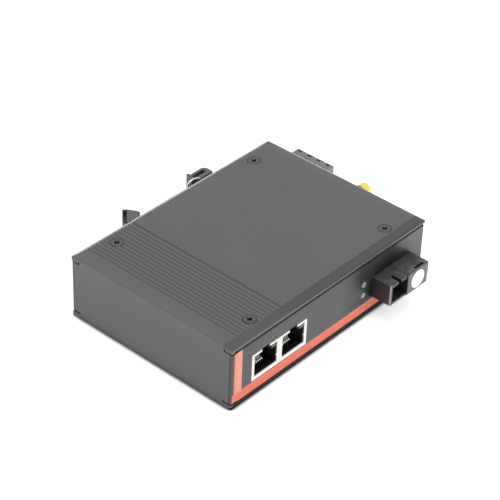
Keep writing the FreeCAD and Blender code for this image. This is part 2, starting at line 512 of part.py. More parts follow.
NOSE_X0 = HD_X0 + 3.9
nose = box(NOSE_X0, TB_Y - HD_Y + 1.0, PCB_Z1 + 1.1, PLUG_X0 + 0.5, TB_Y + HD_Y - 1.0, 14.4)
main = box(PLUG_X0, TB_Y - PLUG_W / 2, PLUG_Z0, PLUG_X1, TB_Y + PLUG_W / 2, PLUG_Z1)
main = main.makeFillet(0.5, pick(main, lambda e, c: near(c.x, PLUG_X1) and near(c.z, PLUG_Z0)))
plug = fuse([nose, main] + [box(HD_X0 + 6.6, y - 0.7, 14.2, PLUG_X0 + 0.3, y + 0.7, 14.9) for y in tb_y])
pt = []
for y in tb_y:
    # contact channel through the nose
    pt.append(box(NOSE_X0 - 1, y - 1.15, TB_Z - 1.15, PLUG_X0 + 6.5, y + 1.15, TB_Z + 1.15))
    # chamber of the clamp cage
    pt.append(box(CLAMP_X - 2.35, y - 2.0, 9.35, CLAMP_X + 2.35, y + 2.0, 16.95))
    pt.append(cylz(CLAMP_X, y, 16.5, 17.5, 1.5))
    # wire funnel in the outer face
    pt.append(box(CLAMP_X + 2.0, y - 1.75, 9.6, PLUG_X1 - 1.0, y + 1.75, 13.1))
    fa = Part.Face(Part.makePolygon([V(PLUG_X1 + 0.01, y - 2.15, 9.2), V(PLUG_X1 + 0.01, y + 2.15, 9.2), V(PLUG_X1 + 0.01, y + 2.15, 13.5), V(PLUG_X1 + 0.01, y - 2.15, 13.5), V(PLUG_X1 + 0.01, y - 2.15, 9.2)]))
    w1 = Part.makePolygon([V(PLUG_X1 + 0.01, y - 2.15, 9.2), V(PLUG_X1 + 0.01, y + 2.15, 9.2), V(PLUG_X1 + 0.01, y + 2.15, 13.5), V(PLUG_X1 + 0.01, y - 2.15, 13.5), V(PLUG_X1 + 0.01, y - 2.15, 9.2)])
    w2 = Part.makePolygon([V(PLUG_X1 - 1.2, y - 1.75, 9.6), V(PLUG_X1 - 1.2, y + 1.75, 9.6), V(PLUG_X1 - 1.2, y + 1.75, 13.1), V(PLUG_X1 - 1.2, y - 1.75, 13.1), V(PLUG_X1 - 1.2, y - 1.75, 9.6)])
    pt.append(Part.makeLoft([w1, w2], True, True))
    # screw well in the top
    pt.append(cylz(CLAMP_X, y, 17.3, PLUG_Z1 + 1, 2.0))
    # test pit beside the upper outer edge
    pt.append(box(PLUG_X1 - 1.65, y - 0.65, PLUG_Z1 - 2.5, PLUG_X1 - 0.7, y + 1.15, PLUG_Z1 + 1))
# shallow grooves between the poles
for i in range(3):
    y = TB_Y + (i - 1) * TB_PITCH
    pt.append(box(PLUG_X1 - 0.35, y - 0.25, PLUG_Z0 - 1, PLUG_X1 + 1, y + 0.25, PLUG_Z1 + 1))
plug = plug.cut(pt)
node("terminal_plug", plug)

forks = []
for y in tb_y:
    up = box(NOSE_X0 + 0.5, y - 0.95, TB_Z + 0.56, CLAMP_X + 2.0, y + 0.95, TB_Z + 0.96)
    lo = box(NOSE_X0 + 0.5, y - 0.95, TB_Z - 0.96, 115.4, y + 0.95, TB_Z - 0.56)
    web = box(115.0, y - 0.95, TB_Z - 0.96, 115.4, y + 0.95, TB_Z + 0.96)
    forks.append(fuse([up, lo, web]))
node("plug_contacts", Part.makeCompound(forks))

CAGE_Z0, CAGE_Z1 = 9.45, 15.45
for i, y in enumerate(tb_y):
    cage = box(CLAMP_X - 2.1, y - 1.8, CAGE_Z0, CLAMP_X + 2.1, y + 1.8, CAGE_Z1)
    cage = cage.cut([box(CLAMP_X - 3, y - 1.3, CAGE_Z0 + 0.5, CLAMP_X + 3, y + 1.3, CAGE_Z1 - 2.0),
                     cylz(CLAMP_X, y, CAGE_Z1 - 3, CAGE_Z1 + 1, 1.30)])
    node("clamp_cage_%d" % (i + 1), cage)
    sc = fuse([cylz(CLAMP_X, y, 17.35, 19.2, 1.9), cylz(CLAMP_X, y, 12.6, 17.5, 1.24)])
    sc = sc.cut([box(CLAMP_X - 2.2, y - 0.3, 18.2, CLAMP_X + 2.2, y + 0.3, 20)])
    node("clamp_screw_%d" % (i + 1), sc)

# ----------------------------------------------------------------------------
# Earth screw with its washers and the nut pressed behind the end wall.
# ----------------------------------------------------------------------------
hd_x0, hd_x1 = 119.2, 123.4
gh = cylx(hd_x0, hd_x1, GND_Y, GND_Z, 3.15)
gh = gh.makeFillet(1.1, pick(gh, lambda e, c: near(c.x, hd_x1)))
gs = fuse([gh, cylx(111.6, hd_x0 + 0.3, GND_Y, GND_Z, 1.95)])
gs = gs.cut([box(hd_x1 - 1.4, GND_Y - 1.9, GND_Z - 0.45, hd_x1 + 1, GND_Y + 1.9, GND_Z + 0.45),
             box(hd_x1 - 1.4, GND_Y - 0.45, GND_Z - 1.9, hd_x1 + 1, GND_Y + 0.45, GND_Z + 1.9)])
node("earth_screw", gs)
w1 = cylx(FAR_X, FAR_X + 1.0, GND_Y, GND_Z, 3.0).cut(cylx(FAR_X - 1, FAR_X + 2, GND_Y, GND_Z, 2.1))
node("earth_flat_washer", w1)
w2 = cylx(FAR_X + 1.0, hd_x0, GND_Y, GND_Z, 2.9).cut([cylx(FAR_X - 1, hd_x0 + 1, GND_Y, GND_Z, 2.1),
                                                 box(FAR_X, GND_Y - 0.25, GND_Z, hd_x0 + 1, GND_Y + 0.25, GND_Z + 5)])
node("earth_spring_washer", w2)
nr = 4.0
npts = [(GND_Y + nr * math.cos(math.radians(60 * i + 30)), GND_Z - 0.0 + nr * math.sin(math.radians(60 * i + 30))) for i in range(6)]
gn = poly_x(npts, FAR_X - T_CH - 2.6, FAR_X - T_CH)
gn = gn.common(box(100, 0, 0, 120, DEP, ZC1 - 0.1))
gn = fuse([gn, cylx(FAR_X - T_CH - 0.2, FAR_X - 0.2, GND_Y, GND_Z, 2.42)]).cut(cylx(100, 130, GND_Y, GND_Z, 2.0))
node("earth_nut", gn)

# ----------------------------------------------------------------------------
# Parts on the board.
# ----------------------------------------------------------------------------
ZB = PCB_Z1


def chip(x, y, w, d, h, n_side, pitch, name):
    """Gull-wing package: body and leads in one solid."""
    b = box(x - w / 2, y - d / 2, ZB + 0.12, x + w / 2, y + d / 2, ZB + h)
    leads = []
    for i in range(n_side):
        o = (i - (n_side - 1) / 2.0) * pitch
        leads.append(box(x - w / 2 - 1.0, y + o - 0.12, ZB, x - w / 2 + 0.1, y + o + 0.12, ZB + 0.35))
        leads.append(box(x + w / 2 - 0.1, y + o - 0.12, ZB, x + w / 2 + 1.0, y + o + 0.12, ZB + 0.35))
    node(name, b.multiFuse(leads))


chip(28.2, 50.0, 14.0, 14.0, 1.5, 14, 0.9, "switch_chip")
chip(92.0, 42.0, 10.0, 10.0, 1.4, 10, 0.9, "fibre_chip")
chip(50.0, 53.0, 5.0, 4.0, 1.6, 4, 1.0, "memory_chip")


def magnetics(x, y, name):
    b = box(x - 6.4, y - 4.6, ZB + 0.2, x + 6.4, y + 4.6, ZB + 6.0)
    b = b.makeChamfer(0.4, pick(b, lambda e, c: near(c.z, ZB + 6.0)))
    leads = []
    for i in range(8):
        o = (i - 3.5) * 1.27
        leads.append(box(x + o - 0.2, y - 5.8, ZB, x + o + 0.2, y - 4.5, ZB + 0.4))
        leads.append(box(x + o - 0.2, y + 4.5, ZB, x + o + 0.2, y + 5.8, ZB + 0.4))
    node(name, b.multiFuse(leads))


magnetics(20.1, 31.0, "magnetics_left")
magnetics(36.3, 31.0, "magnetics_right")

cr = fuse([box(46.2, 40.2, ZB + 0.5, 52.8, 44.8, ZB + 3.5), cylz(46.2, 42.5, ZB + 0.5, ZB + 3.5, 2.3), cylz(52.8, 42.5, ZB + 0.5, ZB + 3.5, 2.3),
           box(43.6, 39.9, ZB, 55.4, 45.1, ZB + 0.5)])
node("crystal_can", cr)

for i, (x, y, r, h) in enumerate(cap_xy):
    c = cylz(x, y, ZB + 0.3, ZB + h, r)
    c = c.makeFillet(0.5, pick(c, lambda e, cc: near(cc.z, ZB + h)))
    base = box(x - r - 0.3, y - r - 0.3, ZB, x + r + 0.3, y + r + 0.3, ZB + 0.6)
    ring = Part.makeTorus(r + 0.12, 0.35, V(x, y, ZB + 1.9), V(0, 0, 1))
    c = c.cut(ring)
    k = [box(x - 1.6, y - 0.12, ZB + h - 0.25, x + 1.6, y + 0.12, ZB + h + 1), box(x - 0.12, y - 1.6, ZB + h - 0.25, x + 0.12, y + 1.6, ZB + h + 1)]
    node("capacitor_%d" % (i + 1), fuse([c, base]).cut(k))

# isolating transformer: bobbin with its winding, and the two-part core around it
bx, by = 90.0, 62.0
bob = fuse([box(bx - 7.0, by - 6.5, ZB, bx + 7.0, by + 6.5, ZB + 1.3), box(bx - 7.0, by - 6.5, ZB + 8.6, bx + 7.0, by + 6.5, ZB + 9.6),
            cylz(bx, by, ZB + 1.2, ZB + 8.7, 5.6)])
bob = bob.cut(cylz(bx, by, ZB - 1, ZB + 11, 2.6))
bob = bob.cut([box(bx - 8, by - 3.1, ZB - 1, bx - 5.9, by + 3.1, ZB + 11), box(bx + 5.9, by - 3.1, ZB - 1, bx + 8, by + 3.1, ZB + 11)])
node("transformer_winding", bob)
core = fuse([box(bx - 8.3, by - 3.0, ZB + 9.7, bx + 8.3, by + 3.0, ZB + 12.0), box(bx - 8.3, by - 3.0, ZB + 0.3, bx - 6.0, by + 3.0, ZB + 9.9),
             box(bx + 6.0, by - 3.0, ZB + 0.3, bx + 8.3, by + 3.0, ZB + 9.9), cylz(bx, by, ZB + 0.3, ZB + 9.9, 2.5)])
node("transformer_core", core)

ind = box(69.0, 38.0, ZB + 0.1, 79.0, 48.0, ZB + 4.8)
ind = ind.makeChamfer(1.6, pick(ind, lambda e, c: e.BoundBox.ZLength > 3))
ind = fuse([ind, box(68.4, 40.5, ZB, 79.6, 45.5, ZB + 0.7)])
node("power_inductor", ind)

reg = fuse([box(60.0, 38.0, ZB + 0.05, 66.5, 44.0, ZB + 2.4), box(60.6, 43.8, ZB, 65.9, 47.2, ZB + 0.6),
            box(60.5, 35.6, ZB, 61.4, 38.2, ZB + 0.6), box(65.1, 35.6, ZB, 66.0, 38.2, ZB + 0.6)])
node("regulator", reg)
fu = fuse([box(98.0, 72.0, ZB + 0.1, 102.6, 78.0, ZB + 2.8), box(98.4, 71.6, ZB, 102.2, 78.4, ZB + 1.0)])
node("input_fuse", fu)
dio = [fuse([box(x - 2.2, y - 1.4, ZB + 0.2, x + 2.2, y + 1.4, ZB + 2.4), box(x - 2.9, y - 0.8, ZB, x + 2.9, y + 0.8, ZB + 0.5)]) for x, y in ((84.0, 76.5), (91.0, 76.5), (76.0, 68.5))]
node("diodes", Part.makeCompound(dio))

# ----------------------------------------------------------------------------
# Rail clip: fixed base with one hook, sliding foot with the other, wire spring.
# ----------------------------------------------------------------------------
CZ = (CLIP_Z0 + CLIP_Z1) / 2
BX0, BX1 = 33.3, 95.0
base = fuse([box(BX0, CLIP_Y0, CLIP_Z0 + 1.0, BX1, CLIP_Y1, CLIP_Z1 - 1.0), box(BX0, CLIP_Y0, CLIP_Z0, HOOK_X, CLIP_Y1, CLIP_Z1)])
hook_pts = [(BX0, CLIP_Y1 - 0.1), (BX0, CLIP_Y1 + 1.1), (BX0 + 6.45, Y_CROWN), (HOOK_X - 0.7, Y_CROWN - 1.3),
            (HOOK_X + 1.4, CLIP_Y1 + 2.7), (HOOK_X + 1.6, LIP_Y), (HOOK_X, LIP_Y), (HOOK_X, CLIP_Y1 - 0.1)]
hook = poly_z(hook_pts, CLIP_Z0, CLIP_Z1)
base = fuse([base, hook])
# shallow groove that follows the outer side of the hook, in both end faces
pk = [(BX0 + 0.35, CLIP_Y0 + 0.6), (BX0 + 0.35, CLIP_Y1 + 0.95), (BX0 + 6.45, Y_CROWN - 0.5), (BX0 + 7.55, Y_CROWN - 1.6),
      (BX0 + 1.95, CLIP_Y1 + 0.35), (BX0 + 1.95, CLIP_Y0 + 0.6)]
base = base.cut([poly_z(pk, CLIP_Z1 - 2.0, CLIP_Z1 + 1), poly_z(pk, CLIP_Z0 - 1, CLIP_Z0 + 2.0)])

# channel that guides the foot, open to the rail side and to the far end
CH_Z0, CH_Z1 = CZ - 7.0, CZ + 7.0
CH_X0 = 63.0
bt = [box(CH_X0 + 7.0, CLIP_Y0 + 0.9, CH_Z0, BX1 + 1, CLIP_Y1 + 1, CH_Z1),
      # the guide grooves under the channel's two side lips
      box(CH_X0 + 7.0, CLIP_Y0 + 0.9, CH_Z0 - 1.6, BX1 + 1, CLIP_Y0 + 2.3, CH_Z1 + 1.6)]
for x in (50.0, 64.0):
    bt.append(cyly(x, CLIP_Y0 - 1, CLIP_Y1 + 1, HGT / 2, 1.7))
    bt.append(cyly(x, CLIP_Y0 + 1.5, CLIP_Y1 + 1, HGT / 2, 3.1))
# notch in the guide's upper lip for the spring wire
bt.append(box(CH_X0 + 6.9, WIRE_Y - 0.65, CH_Z1 - 0.1, FOOT_X + 1.6 + TRAVEL, CLIP_Y1 + 1, CLIP_Z1 + 1))
base = base.cut(bt)
node("clip_base", base)
node("clip_screws", Part.makeCompound([
    fuse([cyly(x, CLIP_Y0 + 1.55, CLIP_Y0 + 3.4, HGT / 2, 2.75), cyly(x, CLIP_Y0 - 4.0, CLIP_Y0 + 1.7, HGT / 2, 1.46)]).cut(
        [box(x - 1.5, CLIP_Y0 + 2.4, HGT / 2 - 0.35, x + 1.5, CLIP_Y0 + 4, HGT / 2 + 0.35),
         box(x - 0.35, CLIP_Y0 + 2.4, HGT / 2 - 1.5, x + 0.35, CLIP_Y0 + 4, HGT / 2 + 1.5)]) for x in (50.0, 64.0)]))

# sliding foot
FX0, FX1 = FOOT_X, 100.5
g = 0.12
slide = box(FX0 - 0.6, CLIP_Y0 + 0.9 + g, CH_Z0 - 1.6 + g, FX1, CLIP_Y0 + 2.3 - g, CH_Z1 + 1.6 - g)
slide2 = box(FX0 - 0.6, CLIP_Y0 + 1.5, CH_Z0 + g, FX1, CLIP_Y1 - 0.25, CH_Z1 - g)
f_pts = [(FX0, CLIP_Y1 - 0.3), (FX0, LIP_Y), (FX0 - 2.7, LIP_Y), (FX0 - 2.7, Y_CLAW - 2.9), (FX0 + 0.15, Y_CLAW - 0.1), (FX0 + 0.5, Y_CLAW - 0.3),
         (FX0 + 1.05, CLIP_Y1 + 5.2), (FX0 + 7.7, CLIP_Y1 + 5.25), (FX0 + 8.9, CLIP_Y1 + 4.6), (FX0 + 9.4, CLIP_Y1 + 3.1), (FX0 + 9.2, CLIP_Y1 - 0.3)]
claw = poly_z(f_pts, CLIP_Z0, CLIP_Z1)
claw = claw.cut([box(FX0 - 3, CLIP_Y1 - 1, CLIP_Z0 - 1, FX1, CLIP_Y1 + 0.15, CH_Z0 + g), box(FX0 - 3, CLIP_Y1 - 1, CH_Z1 - g, FX1, CLIP_Y1 + 0.15, CLIP_Z1 + 1)])
foot = fuse([slide, slide2, claw])
foot = foot.cut([box(96.6, CLIP_Y0, CZ - 2.6, 98.6, CLIP_Y1 + 2, CZ + 2.6),
                 # blind recesses in the two ends of the claw
                 box(FX0 + 0.2, CLIP_Y1 + 2.1, CLIP_Z1 - 3.0, FX0 + 7.4, CLIP_Y1 + 4.0, CLIP_Z1 + 1),
                 box(FX0 + 0.2, CLIP_Y1 + 2.1, CLIP_Z0 - 1, FX0 + 7.4, CLIP_Y1 + 4.0, CLIP_Z0 + 3.0),
                 # groove that the spring wire pulls in
                 box(FX0 + 0.25, WIRE_Y - 0.52, 13.4, FX0 + 1.25, CLIP_Y1 + 0.05, CLIP_Z1 + 1)])
node("clip_foot", foot)

wire_pts = [(CH_X0 + 7.5, 9.0), (CH_X0 + 7.5, 26.0), (CH_X0 + 7.8, 27.0), (CH_X0 + 8.5, 27.6), (CH_X0 + 9.6, 27.8), (CH_X0 + 11.0, 27.75),
            (CH_X0 + 12.6, 27.3), (FX0 + 0.2, 26.3), (FX0 + 0.6, 25.7), (FX0 + 0.75, 24.8), (FX0 + 0.75, 14.0)]
bits = []
for i in range(len(wire_pts) - 1):
    (xa, za), (xb, zb) = wire_pts[i], wire_pts[i + 1]
    d = V(xb - xa, 0, zb - za)
    bits.append(Part.makeCylinder(WIRE_R, d.Length, V(xa, WIRE_Y, za), d))
    if i:
        bits.append(Part.makeSphere(WIRE_R, V(xa, WIRE_Y, za)))
node("clip_spring", fuse(bits))

# ----------------------------------------------------------------------------
# Move every node to the final frame and write it.
# ----------------------------------------------------------------------------
X_MAX = PLUG_X1
Y_MIN = XCV_YR - 0.10
Y_MAX = Y_CROWN
OFF = V(-X_MAX / 2.0, -(Y_MIN + Y_MAX) / 2.0, 0)
os.makedirs("parts", exist_ok=True)
for name, shape in nodes:
    s = shape.copy()
    s.translate(OFF)
    s.exportStep(os.path.join("parts", name + ".step"))
    bb = s.BoundBox
    print("%-26s solids %2d valid %s vol %9.2f  x %7.2f %7.2f  y %7.2f %7.2f  z %6.2f %6.2f" % (
        name, len(s.Solids), s.isValid(), s.Volume, bb.XMin, bb.XMax, bb.YMin, bb.YMax, bb.ZMin, bb.ZMax))
print("nodes", len(nodes), "offset", OFF)
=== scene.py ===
import bpy, bmesh, json, math
from mathutils import Vector, Matrix


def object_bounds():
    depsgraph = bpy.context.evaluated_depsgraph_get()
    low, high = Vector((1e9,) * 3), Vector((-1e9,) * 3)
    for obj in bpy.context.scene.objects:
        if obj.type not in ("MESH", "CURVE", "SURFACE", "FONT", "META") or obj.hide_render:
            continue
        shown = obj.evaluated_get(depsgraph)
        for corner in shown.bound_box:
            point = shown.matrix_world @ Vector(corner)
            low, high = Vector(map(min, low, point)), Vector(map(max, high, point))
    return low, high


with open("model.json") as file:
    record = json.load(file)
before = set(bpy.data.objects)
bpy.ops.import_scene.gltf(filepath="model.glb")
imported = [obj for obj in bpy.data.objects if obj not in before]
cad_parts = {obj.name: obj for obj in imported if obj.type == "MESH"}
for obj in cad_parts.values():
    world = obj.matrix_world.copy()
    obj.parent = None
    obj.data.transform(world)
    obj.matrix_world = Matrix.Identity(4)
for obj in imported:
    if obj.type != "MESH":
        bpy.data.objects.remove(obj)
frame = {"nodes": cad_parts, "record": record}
cad_lo, cad_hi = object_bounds()
nodes = frame["nodes"]

# the case frame used below has X=0 at the blank end, Y=0 at the cover's port edge
OX, OY = 0.1269 - cad_hi[0], -0.0099 - cad_lo[1]


def P(x, y, z):
    """Case millimetres to row metres."""
    return Vector((x / 1000.0 - OX, y / 1000.0 - OY, z / 1000.0))


# ----------------------------------------------------------------------------
# Camera, at the photograph's angle
# ----------------------------------------------------------------------------
AZ, EL, ROLL = math.radians(-49.713), math.radians(36.204), math.radians(-2.304)
K = 117.0 / 116.0
DIST, TX, TY = 765.04 * K / 1000.0, -0.04 * K / 1000.0, -6.74 * K / 1000.0
back = Vector((math.sin(AZ) * math.cos(EL), -math.cos(AZ) * math.cos(EL), math.sin(EL)))
r0 = Vector((math.cos(AZ), math.sin(AZ), 0.0))
u0 = back.cross(r0)
cr, sr = math.cos(ROLL), math.sin(ROLL)
right, up = r0 * cr - u0 * sr, r0 * sr + u0 * cr
centre = P(116 * K / 2, 84.10 * K / 2, 28.61 * K / 2)
cam_data = bpy.data.cameras.new("view")
cam = bpy.data.objects.new("view", cam_data)
bpy.context.scene.collection.objects.link(cam)
cam_data.sensor_width = 36.0
cam_data.lens = 1912.00 / 500.0 * 36.0
cam_data.clip_start, cam_data.clip_end = 0.01, 20.0
cam_data.shift_x, cam_data.shift_y = -0.0014, -0.0001
m = Matrix((right, up, back)).transposed().to_4x4()
m.translation = centre + back * DIST - right * TX - up * TY
cam.matrix_world = m
bpy.context.scene.camera = cam

# ----------------------------------------------------------------------------
# Material builder
# ----------------------------------------------------------------------------


class Net:
    """A small helper to write node trees in a readable way."""

    def __init__(self, name):
        self.m = bpy.data.materials.new(name)
        self.m.use_nodes = True
        self.t = self.m.node_tree
        self.b = self.t.nodes["Principled BSDF"]
        self.co = self.t.nodes.new("ShaderNodeTexCoord").outputs["Object"]

    def n(self, kind, **props):
        node = self.t.nodes.new(kind)
        for k, v in props.items():
            setattr(node, k, v)
        return node

    def link(self, a, b):
        self.t.links.new(a, b)

    def noise(self, scale, detail=3.0, rough=0.55, co=None, dist=0.0):
        n = self.n("ShaderNodeTexNoise")
        n.inputs["Scale"].default_value = scale
        n.inputs["Detail"].default_value = detail
        n.inputs["Roughness"].default_value = rough
        n.inputs["Distortion"].default_value = dist
        self.link(co or self.co, n.inputs["Vector"])
        return n.outputs["Fac"]

    def scaled(self, sx, sy, sz):
        n = self.n("ShaderNodeMapping")
        n.inputs["Scale"].default_value = (sx, sy, sz)
        self.link(self.co, n.inputs["Vector"])
        return n.outputs["Vector"]

    def xyz(self):
        n = self.n("ShaderNodeSeparateXYZ")
        self.link(self.co, n.inputs[0])
        return n.outputs

    def math(self, op, a, b=None, c=None, clamp=False):
        n = self.n("ShaderNodeMath", operation=op, use_clamp=clamp)
        for i, v in enumerate((a, b, c)):
            if v is None:
                continue
            if isinstance(v, (int, float)):
                n.inputs[i].default_value = v
            else:
                self.link(v, n.inputs[i])
        return n.outputs[0]

    def ramp(self, fac, lo, hi, out_lo=0.0, out_hi=1.0, smooth=False):
        n = self.n("ShaderNodeMapRange", clamp=True)
        if smooth:
            n.interpolation_type = "SMOOTHSTEP"
        self.link(fac, n.inputs["Value"])
        for k, v in (("From Min", lo), ("From Max", hi), ("To Min", out_lo), ("To Max", out_hi)):
            n.inputs[k].default_value = v
        return n.outputs["Result"]

    def mix(self, fac, a, b):
        n = self.n("ShaderNodeMix", data_type="RGBA")
        if isinstance(fac, (int, float)):
            n.inputs[0].default_value = fac
        else:
            self.link(fac, n.inputs[0])
        for i, v in ((6, a), (7, b)):
            if isinstance(v, tuple):
                n.inputs[i].default_value = (*v, 1.0)
            else:
                self.link(v, n.inputs[i])
        return n.outputs[2]

    def band(self, v, lo, hi, soft=0.00004):
        """1 between lo and hi, with soft ends."""
        a = self.ramp(v, lo - soft, lo + soft)
        b = self.ramp(v, hi - soft, hi + soft, 1.0, 0.0)
        return self.math("MULTIPLY", a, b)

    def edge(self, radius, gain=6.0):
        """1 on sharp outer edges, from the difference of a rounded and a flat normal."""
        bv = self.n("ShaderNodeBevel", samples=4)
        bv.inputs["Radius"].default_value = radius
        g = self.n("ShaderNodeNewGeometry")
        d = self.n("ShaderNodeVectorMath", operation="DOT_PRODUCT")
        self.link(bv.outputs[0], d.inputs[0])
        self.link(g.outputs["Normal"], d.inputs[1])
        inv = self.math("SUBTRACT", 1.0, d.outputs["Value"])
        return self.math("MULTIPLY", inv, gain, clamp=True)

    def occlusion(self, distance, dark, reach=0.75):
        """Painted shade: a multiplier from ambient occlusion that falls to `dark` in corners and seams."""
        n = self.n("ShaderNodeAmbientOcclusion", samples=8)
        n.inputs["Distance"].default_value = distance
        return self.ramp(n.outputs["AO"], 0.1, reach, dark, 1.0)

    def times(self, c, k):
        """Colour times a scalar."""
        n = self.n("ShaderNodeVectorMath", operation="SCALE")
        self.link(c, n.inputs[0])
        self.link(k, n.inputs["Scale"])
        return n.outputs[0]

    def bump(self, height, strength, distance):
        n = self.n("ShaderNodeBump")
        n.inputs["Strength"].default_value = strength
        n.inputs["Distance"].default_value = distance
        self.link(height, n.inputs["Height"])
        self.link(n.outputs[0], self.b.inputs["Normal"])
        return n

    def color(self, c):
        self.link(c, self.b.inputs["Base Color"])

    def rough(self, r):
        self.link(r, self.b.inputs["Roughness"])


def lin(c):
    """sRGB 0..255 triple to linear."""
    out = []
    for v in c:
        v = v / 255.0
        out.append(v / 12.92 if v <= 0.04045 else ((v + 0.055) / 1.055) ** 2.4)
    return tuple(out)


def shade(c, k):
    return tuple(min(1.0, v * k) for v in c)


def general(name, base, rough=0.45, rvar=0.12, metallic=0.0, var=0.10, var_scale=60.0, grain=2600.0, bump=0.12, bump_d=0.00006,
            edge_col=None, edge_amt=0.5, edge_r=0.00018, coat=0.0, spec=0.5, stretch=None, trans=0.0, ior=None, occ=None, mask=None, tint=None, emit=0.0):
    """A material with slow colour drift, fine grain in roughness and bump, and light edges that are part wear, part
    painted highlight.
    """
    t = Net(name)
    slow = t.noise(var_scale, 4.0, 0.6)
    fine = t.noise(grain, 2.0, 0.6, co=t.scaled(*stretch) if stretch else None)
    mixv = t.math("MULTIPLY_ADD", fine, 0.35, t.math("MULTIPLY", slow, 0.65))
    c = t.mix(t.ramp(mixv, 0.3, 0.7), shade(base, 1.0 - var), shade(base, 1.0 + var))
    if edge_col is not None:
        e = t.edge(edge_r)
        worn_and_lit_edge = t.math("MULTIPLY", e, t.ramp(t.noise(var_scale * 12.0, 4.0, 0.7), 0.35, 0.65, edge_amt * 0.4, edge_amt))
        c = t.mix(worn_and_lit_edge, c, edge_col)
    if tint is not None:
        c = tint(t, c)
    if mask is not None:
        c = t.times(c, mask(t))
    # painted shade in corners and seams
    if occ is not None:
        c = t.times(c, t.occlusion(*occ))
    t.color(c)
    # emission in the surface's own colour: a painted glow
    if emit:
        t.link(c, t.b.inputs["Emission Color"])
        t.b.inputs["Emission Strength"].default_value = emit
    t.rough(t.ramp(mixv, 0.25, 0.75, max(0.02, rough - rvar), min(1.0, rough + rvar)))
    t.b.inputs["Metallic"].default_value = metallic
    t.b.inputs["Specular IOR Level"].default_value = spec
    if coat:
        t.b.inputs["Coat Weight"].default_value = coat
        t.b.inputs["Coat Roughness"].default_value = 0.12
    if trans:
        t.b.inputs["Transmission Weight"].default_value = trans
    if ior:
        t.b.inputs["IOR"].default_value = ior
    t.bump(fine, bump, bump_d)
    return t


# the two paints; both read lighter than their base, because they are satin
COVER = (0.085, 0.086, 0.088)
PANEL = (0.047, 0.047, 0.049)


